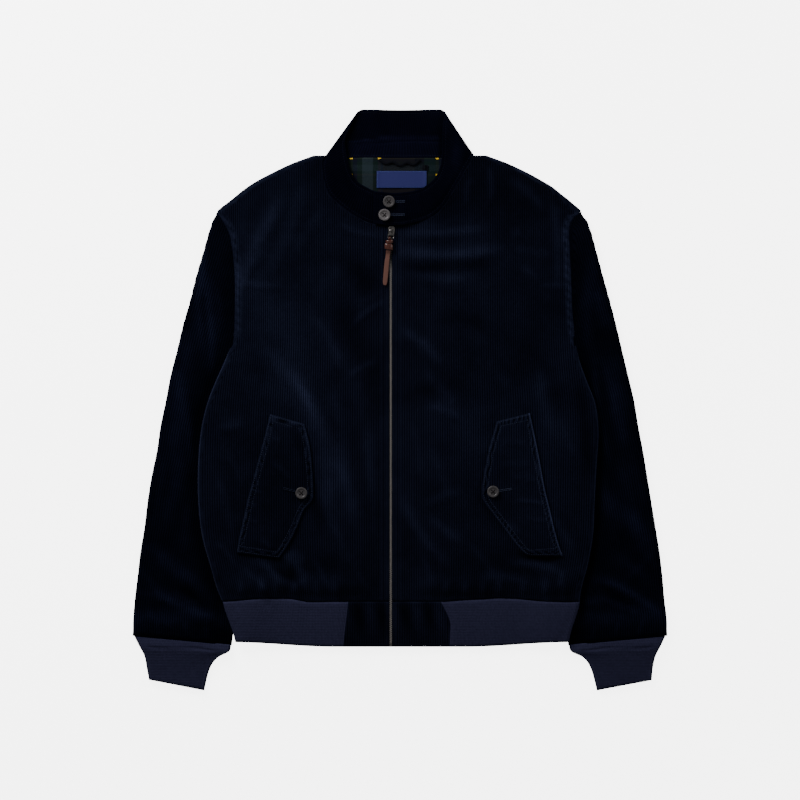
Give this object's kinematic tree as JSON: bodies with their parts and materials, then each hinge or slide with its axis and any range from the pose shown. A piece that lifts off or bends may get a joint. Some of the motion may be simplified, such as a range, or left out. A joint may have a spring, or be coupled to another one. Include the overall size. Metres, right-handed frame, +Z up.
{
  "type": "corduroy jacket",
  "caption": "Zip-fronted corduroy bomber jacket laid flat, with a buttoned stand collar, flapped slant pockets, ribbed cuffs and hem, and a swinging leather zip pull.",
  "frame": {"origin": "centre of the bounding box, on the surface the jacket lies on", "axes": "+X across the chest to the viewer's right, +Y from hem to collar, +Z up out of the front"},
  "size_m": [0.7216, 0.7841, 0.0188],
  "materials": {
    "corduroy": "cut-pile cotton corduroy, dark navy",
    "rib_knit": "matte rib knit, navy",
    "tartan_lining": "woven check lining",
    "label_blue": "woven blue label, blank",
    "loop_tape": "dark woven tape",
    "zip_tape": "woven zip tape",
    "zip_metal": "light nickel-brass metal",
    "leather": "reddish brown leather",
    "button_horn": "dark horn-like plastic"
  },
  "bodies": {
    "jacket": {"back": "corduroy", "front_left": "corduroy", "front_right": "corduroy", "sleeve_left": "corduroy", "sleeve_right": "corduroy", "collar": "corduroy", "hem_panel_left": "corduroy", "hem_panel_right": "corduroy", "pocket_flap_left": "corduroy", "pocket_flap_right": "corduroy", "cuff_left": "rib_knit", "cuff_right": "rib_knit", "hem_band": "rib_knit", "neck_lining": "tartan_lining", "neck_label": "label_blue", "size_tab": "label_blue", "hanger_loop": "loop_tape", "zip_tape_left": "zip_tape", "zip_tape_right": "zip_tape", "zip_chain": "zip_metal", "zip_slider": "zip_metal", "collar_button_upper": "button_horn", "collar_button_lower": "button_horn", "flap_button_left": "button_horn", "flap_button_right": "button_horn"},
    "pull": {"pull_bail": "zip_metal", "pull_leather": "leather"}
  },
  "joints": [
    {"name": "pull_swing", "type": "hinge", "parent": "jacket", "child": "pull", "pos_m": [-0.0115, 0.2295, 0.0104], "axis": [-1, 0, 0], "range_deg": [0, 135]}
  ]
}
